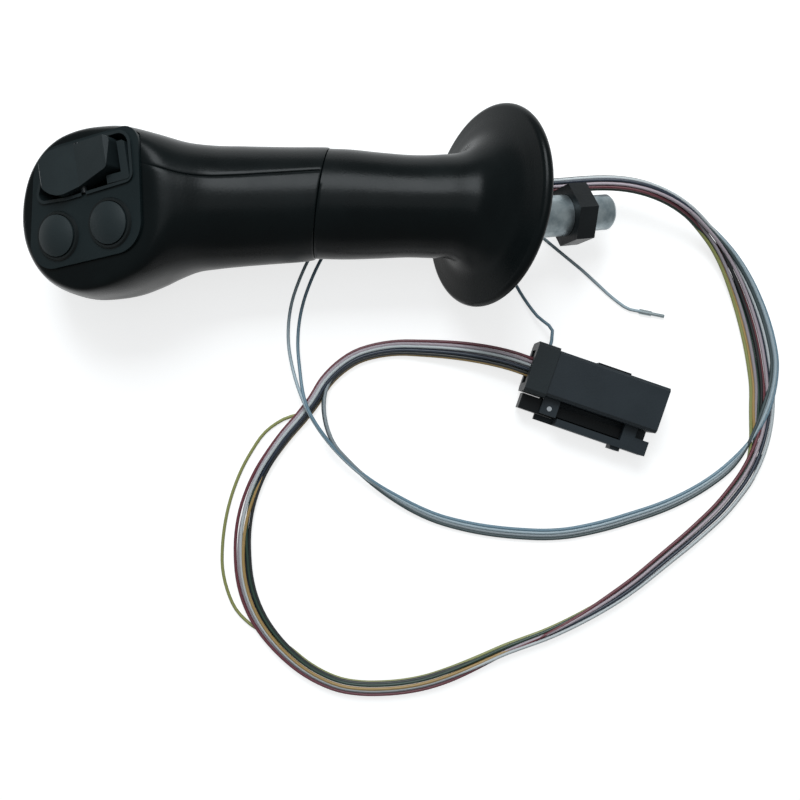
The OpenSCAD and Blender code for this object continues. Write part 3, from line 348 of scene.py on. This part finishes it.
loop_route = [[*loop_start, 8.2], [*(loop_start + 4 * BUNDLE_WAY), 8.2],
    [45, -114.5, -14.08, 8.6], [34, -125.5, -14.12, 8.8], [21, -134.8, -14.03, 8.4],
    [5, -144.6, -13.89, 7.8], [-10, -153.4, -13.78, 7.4], [-27, -161.2, -13.66, 7],
    [-46, -167.8, -13.59, 6.8], [-65, -172.2, -13.52, 6.6], [-82, -177, -13.52, 6.6],
    [-100, -180.6, -13.52, 6.6], [-119, -180.4, -13.52, 6.6], [-136, -176.4, -13.52, 6.6],
    [-148, -168.6, -13.59, 6.8], [-158, -157.4, -13.72, 7.2], [-165, -145, -13.89, 7.8],
    [-168.4, -132, -13.99, 8.2], [-168.2, -117, -13.99, 8.2], [-165, -102, -13.84, 7.6],
    [-157, -86, -13.52, 6.6], [-145, -72, -13.29, 6], [-131, -59.5, -13.29, 6],
    [-121, -48.5, -13.37, 6.2], [-109, -42, -13.52, 6.6], [-94, -40.6, -13.66, 7],
    [-79, -43, -12, 7.6], [-64, -46.6, -9.8, 8.4],
    [*(seal_face - 9 * conn_along), 8.8], [*seal_face, 8.8]]
grey_start = BUNDLE_END + np.array([-4.33, 1.65, -0.5])
grey_route = [[*grey_start, 4.4], [*(grey_start + 4 * BUNDLE_WAY), 4.4],
    [37, -111.4, -14.49, 4.6], [24, -118, -14.6, 5], [10, -122.6, -14.7, 5.4],
    [-5, -125.4, -14.74, 5.6], [-20, -127.4, -14.74, 5.6], [-36, -127.8, -14.74, 5.6],
    [-54, -124.8, -14.74, 5.6], [-72, -119.6, -14.7, 5.4], [-88, -112.4, -14.3, 5],
    [-101, -103, -13.2, 4.6], [-113, -91.4, -11.4, 4.2], [-123.4, -77, -9.2, 3.8],
    [-130.8, -61, -8, 3.6], [-133.6, -50, -8.6, 3.6]]
# Spare and stray wires: x, y, z
short_route = [
    [-132.5, -49.4, -8.9], [-132.8, -42, -11.4], [-132.4, -33, -14.2], [-129.6, -21, -15.25],
    [-123.4, -8, -15.25], [-115, 4, -15.25], [-104, 15, -15.25], [-90, 22.6, -15.25],
    [-76, 26, -15.25], [-62, 24.6, -15.25], [-51, 15, -15.25], [-44.4, -2, -15.25],
    [-38.4, -22, -15.25], [-33.4, -34, -13.6], list(cover_side + 5 * conn_aside), list(cover_side)]
crimp_way = np.array([math.cos(CRIMP_YAW), math.sin(CRIMP_YAW), 0])
crimp_at = np.array([11, -40.6, TABLE_Z + 1.1])
long_route = [
    [-134.6, -49.9, -8.9], [-135.8, -42, -11.4], [-136.2, -32, -14.2], [-133.4, -18, -15.25],
    [-126.4, -4, -15.25], [-117, 8.6, -15.25], [-104, 19.6, -15.25], [-90, 27, -15.25],
    [-75, 30.6, -15.25], [-59, 29, -15.25], [-45, 19.4, -15.25], [-32, 4.8, -15.25],
    [-20, -9, -15.25], [-8, -22.4, -15.25], [1, -33.6, -15], list(crimp_at - 4 * crimp_way), list(crimp_at)]
stray_route = [
    [-140.6, -63, -13.4], [-149, -65.6, -15.2], [-160, -76.6, -15.25], [-169, -91, -15.25],
    [-175, -107, -15.25], [-177.6, -124, -15.25], [-174.6, -139, -15.25], [-165.1, -153.4, -13.4]]


def smooth_rows(p, gap, counts):
    """Rows on a smooth curve through the rows of p, which lie gap apart, with counts samples in each gap."""
    slope = (p[1:] - p[:-1]) / gap[:, None]
    m = np.empty_like(p)
    m[0], m[-1] = slope[0], slope[-1]
    m[1:-1] = (slope[:-1] * gap[1:, None] + slope[1:] * gap[:-1, None]) / (gap[1:] + gap[:-1])[:, None]
    out = []
    for i, (h, n) in enumerate(zip(gap, counts)):
        for s in np.arange(n) / n:
            out.append((2 * s ** 3 - 3 * s ** 2 + 1) * p[i] + (s ** 3 - 2 * s ** 2 + s) * h * m[i]
                       + (3 * s ** 2 - 2 * s ** 3) * p[i + 1] + (s ** 3 - s ** 2) * h * m[i + 1])
    out.append(p[-1])
    return np.array(out)


def through(points):
    """A smooth curve through points of three or more columns, with a sample about every STEP mm."""
    p = np.array(points, float)
    gap = np.sqrt(((p[1:, :3] - p[:-1, :3]) ** 2).sum(1)) + 1e-9
    return smooth_rows(p, gap, [max(1, int(round(h / STEP))) for h in gap])


def run_length(p):
    """Length along a line up to each of its points."""
    return np.concatenate([[0], np.cumsum(np.sqrt(((p[1:, :3] - p[:-1, :3]) ** 2).sum(1)))])


def lay_along(route, keys, area_d):
    """The line of one wire in a run. keys are (share of the run, sideways, up), each from -1 to 1."""
    c = through(route)
    s = run_length(c)
    s = s / s[-1]
    k = np.array(keys, float)
    across = np.interp(s, k[:, 0], k[:, 1])
    up = np.interp(s, k[:, 0], k[:, 2])
    for _ in range(3):
        across[1:-1] = (across[:-2] + 2 * across[1:-1] + across[2:]) / 4
        up[1:-1] = (up[:-2] + 2 * up[1:-1] + up[2:]) / 4
    way = np.gradient(c[:, :3], axis=0)
    way /= np.linalg.norm(way, axis=1)[:, None]
    left = np.cross([0, 0, 1], way)
    left /= np.linalg.norm(left, axis=1)[:, None]
    above = np.cross(way, left)
    half_w = np.maximum(c[:, 3] / 2 - WIRE_D / 2, 0.2)
    half_h = np.maximum(area_d ** 2 / c[:, 3] / 2 - WIRE_D / 2, 0.2)
    return c[:, :3] + left * (across * half_w)[:, None] + above * (up * half_h)[:, None]


def wire_curve(name, line, colour):
    """One insulated wire as a round curve."""
    line = line.copy()
    line[:, 2] = np.maximum(line[:, 2], TABLE_Z + WIRE_D / 2 + FLOOR_GAP)
    data = bpy.data.curves.new(name, "CURVE")
    data.dimensions = "3D"
    data.bevel_depth = WIRE_D / 2 * MM
    data.bevel_resolution = 3
    data.use_fill_caps = True
    spline = data.splines.new("POLY")
    spline.points.add(len(line) - 1)
    for point, at in zip(spline.points, line * MM):
        point.co = (*at, 1)
    spline.use_smooth = True
    obj = bpy.data.objects.new(name, data)
    bpy.context.scene.collection.objects.link(obj)
    data.materials.append(wire_sheath("pvc_" + name, colour))
    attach(obj, "handle")
    return obj


def declare(stands_for):
    """Hides the tubes of part.scad that one wire stands for."""
    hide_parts(*stands_for)


# Coloured branch: name, colour, then (sideways, up) near the handle, on the flat stretch,
# at the split, along the loop's start, on its left side and at the connector
COLOUR_WIRES = [
    ("pale_grey", "#c4c8c9", (0.5, 0.7), (0.42, -0.2), (0.9, -0.7), (0.8, 0.8), (0.2, 0.7), (0.15, 0.8)),
    ("navy", "#232d3c", (0.1, 0.95), (0.22, -0.7), (0.62, -0.7), (0.3, 0.9), (-0.35, -0.8), (-0.35, 0.7)),
    ("mauve", "#b0a2a9", (-0.4, 0.8), (0.05, 0.6), (0.3, -0.7), (-0.2, 0.9), (0.15, -0.1), (0.55, 0.6)),
    ("maroon", "#6b343c", (-0.8, 0.5), (-0.12, -0.7), (0.05, 0.2), (-0.75, 0.7), (0.9, 0.2), (0.95, -0.1)),
    ("black", "#181b1c", (0.75, 0.0), (-0.3, 0.3), (-0.15, -0.8), (0.95, -0.2), (-0.9, 0.3), (-0.75, 0.2)),
    ("dark_green", "#203a2f",
     (-0.95, -0.1), (-0.47, -0.7), (-0.38, 0.2), (-0.35, -0.1), (-0.65, 0.6), (0.3, -0.4)),
    ("grey_mauve", "#a1989e",
     (0.0, 0.0), (-0.62, 0.0), (-0.55, -0.8), (0.35, -0.2), (0.5, 0.1), (-0.15, -0.5)),
    ("tan", "#ad8d58", (0.5, -0.75), (-0.8, -0.6), (-0.75, -0.2), (0.5, -0.9), (-0.1, 0.9), (-0.95, -0.4)),
    ("yellow_green", "#94965c",
     (-0.5, -0.8), (-0.96, -0.2), (-0.92, -0.8), (-0.3, -0.95), (-0.95, -0.5), (-0.6, -0.8)),
]
# Grey branch: name, colour, the same three pairs, sideways along the branch, and the pair at its end
GREY_WIRES = [
    ("steel_blue", "#6f8a99", (0.2, -0.95), (0.95, -0.3), (-0.2, 0.9), -0.85, (0.6, 0.3)),
    ("light_blue_grey", "#a6b5bc", (-0.1, -0.55), (0.8, 0.3), (-0.4, 0.9), -0.3, (0.9, 0.1)),
    ("mid_grey", "#878f93", (0.4, -0.2), (0.68, -0.4), (-0.62, 0.9), 0.3, (-0.6, 0.3)),
    ("slate", "#3d4a4c", (-0.4, 0.3), (0.55, 0.4), (-0.82, 0.9), 0.85, (-0.2, -0.9)),
]
# The tubes of part.scad that a wire stands for
STANDS_FOR = {
    "pale_grey": ["harness_bundle", "harness_loop"],
    "yellow_green": ["stray_wire"],
    "mid_grey": ["harness_grey"],
    "steel_blue": ["spare_wire_short"],
    "light_blue_grey": ["spare_wire_long"],
}


def bundle_line(near, flat, split):
    """A wire's line from the grommet to the split."""
    keys = [(0.0, *near), (0.36, *near), (0.62, *flat), (0.84, *flat), (1.0, *split)]
    return lay_along(bundle_route, keys, BUNDLE_D)


for name, colour, near, flat, split, first, left_side, at_plug in COLOUR_WIRES:
    head = bundle_line(near, flat, split)
    tail = lay_along(loop_route, [(0.0, *first), (0.2, *first), (0.36, *left_side), (0.62, *left_side),
                                  (0.74, *at_plug), (1.0, *at_plug)], LOOP_D)
    if name == "yellow_green":
        stray = np.array(stray_route[::-1], float)
        leave = int(np.argmin(np.linalg.norm(tail - stray[0], axis=1))) - 4
        join = int(np.argmin(np.linalg.norm(tail - stray[-1], axis=1))) + 4
        middle = through(np.vstack([tail[leave - 1:leave + 1], stray[1:-1], tail[join:join + 2]]))
        tail = np.vstack([tail[:leave - 1], middle, tail[join + 2:]])
    key_line = through(np.vstack([head[:-4:3], tail[4::3]]))
    key_line = np.vstack([head[:1], key_line[1:], tail[-1:]])
    obj = wire_curve("wire_" + name, key_line, colour)
    declare(STANDS_FOR.get(name, []))

for name, colour, near, flat, split, across, end in GREY_WIRES:
    head = bundle_line(near, flat, split)
    tail = lay_along(grey_route, [(0.0, across, 0.0), (0.7, across, 0.0), (0.9, *end), (1.0, *end)], GREY_D)
    own_route = {"steel_blue": short_route, "light_blue_grey": long_route}.get(name)
    if own_route is None:
        # these two turn into the loop where the branch crosses it, and follow it to the connector
        spots = lay_along(loop_route, [(0.0, 0, 0), (0.7, *end), (1.0, end[0] * 0.5, end[1] * 0.9)], LOOP_D)
        join = int(np.argmin(np.linalg.norm(spots - CROSSING, axis=1)))
        key_line = through(np.vstack([head[:-4:3], tail[4:-8:3], spots[join:][::3], spots[-1:]]))
    else:
        more = through(own_route)
        key_line = through(np.vstack([head[:-4:3], tail[4:-3:3], more[3::3], more[-1:]]))
    obj = wire_curve("wire_" + name, key_line, colour)
    if name == "light_blue_grey":
        declare(STANDS_FOR.get(name, []))
    else:
        declare(STANDS_FOR.get(name, []))


# ---- Handle: smooth skins over the same stations as part.scad ----

WALL = 2.6
SEAM_STEP = 0.5
GRIP_Z = 15.0
GRIP_R = 21.5
HALF_W, HALF_H, TOP = 30.8, 28.0, 30.0
FACE = np.array([-198.5, 25.8, 31.6])
FACE_PITCH = math.radians(20)
# The highest squareness below a section's middle, and its least half width and height
UNDER_SQUARE = 2.2
LEAST = 0.05
# Points around a section of the lower grip, and of one shell
ROUND = 96
HALF_ROUND = ROUND // 2 + 13
# Depth of a shell's eased edges
EDGE_D = 0.45
# Half the height of the cutter for the switch plate's opening
CUT_REACH = 14
# Each corner of the opening under the plate's lip: x, y on the face, and radius
OPENING_CORNERS = [[22.6, 17.3, 5.3], [-6.2, 9.8, 12.8], [-15.4, -11.4, 8.8], [13.4, -9.4, 10.8]]

# x, y, z, half width, height above, depth below, squareness above, yaw, pitch, and on the shells
# the parting angle
seam = [-112, 16.5, GRIP_Z, GRIP_R, GRIP_R - 1, GRIP_R - 1, 2, 17, 0]
neck = [[-61.5, 8, GRIP_Z + 2.2, 20.3, 20.3, 20.3, 2, 12, 25],
        [-70, 9, GRIP_Z + 1, 19.5, 19.5, 19.5, 2, 10, 13],
        [-78, 10.4, GRIP_Z + 0.3, 19.3, 19.2, 19.2, 2, 10, 5], [-90, 12.5, GRIP_Z, 20, 19.4, 19.4, 2, 10, 0],
        [-102, 14.7, GRIP_Z, GRIP_R - 0.7, GRIP_R - 1.6, GRIP_R - 1.6, 2, 12, 0]]
shell = [seam + [66],
         [-119, 17.2, GRIP_Z, GRIP_R + 0.2, GRIP_R - 0.9, GRIP_R - 0.9, 2, 11, 0, 67],
         [-131, 18.6, GRIP_Z, GRIP_R + 0.7, GRIP_R - 0.6, GRIP_R - 0.7, 2, 10, 0, 69],
         [-143, 20, GRIP_Z, GRIP_R + 1.3, GRIP_R, GRIP_R - 0.5, 2, 10, 0, 71],
         [-152, 21, GRIP_Z - 0.3, GRIP_R + 1.7, GRIP_R + 1.5, GRIP_R + 0.5, 2.1, 9, 0, 73],
         [-161, 22.2, GRIP_Z - 1, HALF_W - 6.8, TOP - 3.5, HALF_H - 4.6, 2.4, 7, 0, 75],
         [-170, 23.2, GRIP_Z - 1.9, HALF_W - 4.4, TOP, HALF_H - 2.6, 3.2, 4, 0, 77],
         [-179, 23.8, GRIP_Z - 2.6, HALF_W - 1.7, TOP + 1.5, HALF_H - 0.8, 4, 1, 0, 78],
         [-188, 23.8, 12, HALF_W, TOP, HALF_H, 4, 0, 0, 79],
         [-197, 23.6, 12, HALF_W, TOP - 0.5, HALF_H, 4, 0, 0, 80],
         [-205.5, 23.4, 11.6, HALF_W - 1.3, TOP - 2.4, HALF_H - 0.6, 3.8, 0, 0, 80],
         [-213, 23.2, 11, HALF_W - 4.6, TOP - 5, HALF_H - 3.4, 3.2, 0, 0, 80],
         [-219, 22.6, 10.4, HALF_W - 9.6, TOP - 9.2, HALF_H - 8, 2.8, 0, 0, 80],
         [-223.5, 21.8, 10, HALF_W - 16.4, TOP - 15, HALF_H - 13.6, 2.4, 0, 0, 80],
         [-226, 21, 9.8, HALF_W - 24, TOP - 21.6, HALF_H - 20, 2.1, 0, 0, 80],
         [-226.8, 20.6, 9.7, 0.3, 0.3, 0.3, 2, 0, 0, 80]]


def finer(stations, count):
    """More stations between the given ones, on one smooth curve."""
    p = np.array(stations, float)
    d = p[1:] - p[:-1]
    gap = np.sqrt(d[:, 0] ** 2 + d[:, 1] ** 2 + d[:, 3] ** 2) + 1e-6
    return smooth_rows(p, gap, [count] * len(gap))


def ring(s, angles, inset):
    """Points of a section at even polar angles, drawn in by inset."""
    _, side, up = turned(s[7], s[8])
    c, d = np.cos(angles), np.sin(angles)
    e = np.where(d > 0, s[6], min(s[6], UNDER_SQUARE))
    r = (np.abs(c) ** e + np.abs(d) ** e) ** (-1 / e)
    high = np.where(d > 0, s[4], s[5]) - inset
    wide = s[3] - inset
    return (np.array(s[:3]) + np.outer(r * c * np.maximum(wide, LEAST), side)
            + np.outer(r * d * np.maximum(high, LEAST), up))


def parting_angle(s, degrees):
    """Polar angle of the point that part.scad reaches at this angle."""
    t = math.radians(degrees)
    e = s[6] if math.sin(t) > 0 else min(s[6], UNDER_SQUARE)
    return math.atan2(math.copysign(abs(math.sin(t)) ** (2 / e), math.sin(t)),
                      math.copysign(abs(math.cos(t)) ** (2 / e), math.cos(t)))


def under_face(p, inset, soft):
    """Holds points under the switch face, with a rounded edge."""
    level = FACE[2] + math.tan(FACE_PITCH) * (p[:, 0] - FACE[0]) - inset / math.cos(FACE_PITCH)
    over = np.maximum(soft - np.abs(p[:, 2] - level), 0) / soft
    q = p.copy()
    q[:, 2] = np.minimum(p[:, 2], level) - over ** 2 * soft / 4
    return q


def parting_span(s, turn):
    """First and last polar angle of a shell's section."""
    start = parting_angle(s, s[9] + turn)
    stop = parting_angle(s, s[9] + turn + 180)
    return start, stop + 2 * math.pi if stop < start else stop


def skin_object(name, node, rows, closed_round, more_faces=()):
    """A closed grip moulding over a loop of rows of points, the last row joined to the first."""
    n, m = len(rows), len(rows[0])
    points = np.vstack(rows) * MM
    faces = list(more_faces)
    for i in range(n):
        for k in range(m if closed_round else m - 1):
            j, l = (i + 1) % n, (k + 1) % m
            faces.append((i * m + k, i * m + l, j * m + l, j * m + k))
    mesh = bpy.data.meshes.new(name)
    mesh.from_pydata(points.tolist(), [], faces)
    b = bmesh.new()
    b.from_mesh(mesh)
    bmesh.ops.remove_doubles(b, verts=b.verts, dist=1e-6)
    bmesh.ops.recalc_face_normals(b, faces=b.faces)
    b.to_mesh(mesh)
    b.free()
    obj = bpy.data.objects.new(name, mesh)
    bpy.context.scene.collection.objects.link(obj)
    mesh.materials.append(grip_plastic)
    for p in mesh.polygons:
        p.use_smooth = True
    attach(obj, "handle")
    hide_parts(node)
    return obj


def rest_station(r, d, slip=(0, 0, 0)):
    """A round section of the hand rest, at d behind its middle."""
    c = rest_centre + rest_along * d + np.array(slip)
    return [*c, r, r, r, 2, REST_YAW, REST_PITCH]


def build_lower_grip():
    """Hand rest and lower grip in one moulding, open at the seam and behind the base plate."""
    angles = np.arange(ROUND) * 2 * math.pi / ROUND
    rim_turns = [math.radians(q) for q in range(-90, 91, 15)]
    rim = [rest_station(REST_R - RIM_R + RIM_R * math.cos(q), RIM_R * math.sin(q)) for q in rim_turns]
    flare = [rest_station(REST_R - RIM_R, RIM_R), rest_station(REST_R - 6.5, RIM_R + 0.8),
             rest_station(REST_R - 12.5, RIM_R + 2.4), rest_station(REST_R - 16, RIM_R + 4.8, (-0.6, 0, -1))]
    seam_end = np.array(seam, float)
    seam_end[3:6] -= SEAM_STEP
    outer = finer(flare + neck + [list(seam_end)], 6)
    end = outer[-1]
    ease = np.array([0.35, 0, 0])
    rows = [ring(s, angles, 0) for s in rim[:-1]] + [ring(s, angles, 0) for s in outer[:-1]]
    rows += [ring(end, angles, 0) + ease, ring(end, angles, 0.15) + ease * 0.4, ring(end, angles, 0.5)]
    inner = finer([seam] + neck[::-1], 3)
    rows += [ring(s, angles, WALL) for s in inner]
    base_r = REST_R - RIM_R - 2.2
    ledge_r = REST_R - 2 * RIM_R - 5.4
    recess = [rest_station(REST_R - 18.6, RIM_R + 1.6, (-0.6, 0, -1)), rest_station(ledge_r, 0.8),
              rest_station(base_r + 0.3, 0.8), rest_station(base_r + 0.3, -RIM_R + 0.5),
              rest_station(base_r + 0.8, -RIM_R)]
    rows += [ring(s, angles, 0) for s in recess]
    return skin_object("lower_grip_moulding", "lower_grip", rows, True)


def build_shell(name, node, turn):
    """One half of the head and upper grip as a closed wall, its parting edges slightly eased."""
    outer = finer(shell, 6)
    rows_out, rows_in = [], []
    for s in outer:
        start, stop = parting_span(s, turn)
        radius = max(s[3], 0.5)
        ease = min(0.5 / radius, 0.2)
        inside = np.linspace(start + ease, stop - ease, HALF_ROUND)
        angles = np.concatenate([[start, start + ease * 0.4], inside, [stop - ease * 0.4, stop]])
        drop = np.zeros(len(angles))
        depth = min(EDGE_D, radius * 0.2)
        drop[[0, -1]] = depth
        drop[[1, -2]] = depth * 0.35
        skin = np.array([ring(s, angles[i:i + 1], drop[i])[0] for i in range(len(angles))])
        rows_out.append(under_face(skin, 0, 3.0))
        wall = ring(s, angles, min(WALL, radius * 0.8))
        rows_in.append(under_face(wall, WALL, 2.0))
    # the joint at the grip's seam: the shell's edge is eased too
    start, stop = parting_span(outer[0], turn)
    lip_angles = np.concatenate([[start, start + 0.01], np.linspace(start + 0.023, stop - 0.023, HALF_ROUND),
                                 [stop - 0.01, stop]])
    lip = ring(outer[0], lip_angles, EDGE_D)
    lip_out = ring(outer[0], lip_angles, 0.15) + np.array([-0.15, 0, 0])
    rows_out[0] = rows_out[0] + np.array([-EDGE_D, 0, 0])
    loop_rows = [lip, lip_out] + rows_out + rows_in[::-1]
    last = len(loop_rows) - 1
    m = len(lip)
    parting = []
    for k in (0, m - 1):
        parting.append((k, m + k, 2 * m + k, last * m + k))
        for i in range(2, 1 + len(rows_out)):
            j = last - (i - 2)
            parting.append((i * m + k, (i + 1) * m + k, (j - 1) * m + k, j * m + k))
    return skin_object(name, node, loop_rows, False, parting)


lower = build_lower_grip()
shells = [build_shell("rocker_side_shell", "shell_rocker_side", -180),
          build_shell("button_side_shell", "shell_button_side", 0)]


def on_face(x, y, z):
    """The place of a point that is given on the switch face."""
    c, s = math.cos(FACE_PITCH), math.sin(FACE_PITCH)
    return FACE + np.array([x * c - z * s, y, x * s + z * c])


def corner_outline(corners, count=12):
    """Outline round circles at the corners, given anticlockwise, as (x, y) pairs."""
    out = []
    n = len(corners)
    for i in range(n):
        cx, cy, r = corners[i]
        turns = []
        for a, b in ((corners[i - 1], corners[i]), (corners[i], corners[(i + 1) % n])):
            dx, dy = b[0] - a[0], b[1] - a[1]
            far = math.hypot(dx, dy)
            turns.append(math.atan2(dy, dx) - math.pi / 2 + math.asin((a[2] - b[2]) / far))
        if turns[1] < turns[0]:
            turns[1] += 2 * math.pi
        for k in range(count + 1):
            q = turns[0] + (turns[1] - turns[0]) * k / count
            out.append((cx + r * math.cos(q), cy + r * math.sin(q)))
    return out


def cut_plate_opening():
    """Cuts the switch plate's opening out of both shells."""
    outline = corner_outline(OPENING_CORNERS)
    rows = [np.array([on_face(x, y, z) for x, y in outline]) for z in (-CUT_REACH, CUT_REACH)]
    n = len(outline)
    points = (np.vstack(rows) * MM).tolist()
    faces = [tuple(range(n))[::-1], tuple(range(n, 2 * n))]
    faces += [(k, (k + 1) % n, n + (k + 1) % n, n + k) for k in range(n)]
    mesh = bpy.data.meshes.new("opening_cutter")
    mesh.from_pydata(points, [], faces)
    cutter = bpy.data.objects.new("opening_cutter", mesh)
    bpy.context.scene.collection.objects.link(cutter)
    for obj in shells:
        b = obj.modifiers.new("plate_opening", "BOOLEAN")
        b.operation = "DIFFERENCE"
        b.object = cutter
        b.solver = "EXACT"
        bpy.context.view_layer.objects.active = obj
        obj.select_set(True)
        bpy.ops.object.modifier_apply(modifier=b.name)
        obj.select_set(False)
        for p in obj.data.polygons:
            p.use_smooth = True
    bpy.data.objects.remove(cutter)


cut_plate_opening()

for obj in shells + [lower]:
    obj.data.set_sharp_from_angle(angle=SHARP_ANGLE)
